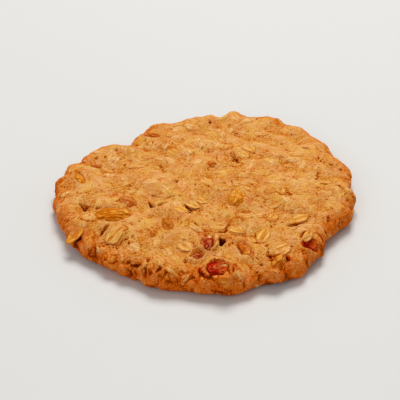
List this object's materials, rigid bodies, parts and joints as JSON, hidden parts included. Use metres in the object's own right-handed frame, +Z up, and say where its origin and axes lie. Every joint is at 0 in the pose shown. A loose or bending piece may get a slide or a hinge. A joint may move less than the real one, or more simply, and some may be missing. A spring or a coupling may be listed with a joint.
{
  "type": "oatmeal raisin cookie",
  "caption": "Wide flat oatmeal cookie with an uneven rounded rim, rolled oats baked into its crust and raisins showing through; flat underneath.",
  "frame": {"origin": "middle of the cookie's outline, on the flat base that it rests on", "axes": "+Z up out of the top crust; -Y towards the rim with the bright red raisin; +X towards the rim with the long shallow bite between the east raisin and the middle"},
  "size_m": [0.1349, 0.1345, 0.0157],
  "materials": {
    "crust": "baked golden-brown dough with paler oat flakes, matt with a faint buttery sheen",
    "raisin_amber": "wrinkled amber raisin skin, soft gloss, under a thin film of dough",
    "raisin_dark": "wrinkled dark red raisin skin, soft gloss"
  },
  "bodies": {
    "root": {"cookie": "crust", "raisin_west": "raisin_amber", "raisin_west_fold": "raisin_amber", "raisin_middle": "raisin_amber", "raisin_torn": "raisin_dark", "raisin_torn_chip": "raisin_dark", "raisin_front": "raisin_dark", "raisin_south": "raisin_amber", "raisin_east": "raisin_dark", "raisin_south_east": "raisin_dark", "raisin_north": "raisin_amber", "raisin_low": "raisin_amber", "raisin_low_small": "raisin_amber", "raisin_crevice": "raisin_amber", "raisin_north_west": "raisin_amber", "raisin_far_west": "raisin_amber"}
  },
  "joints": []
}
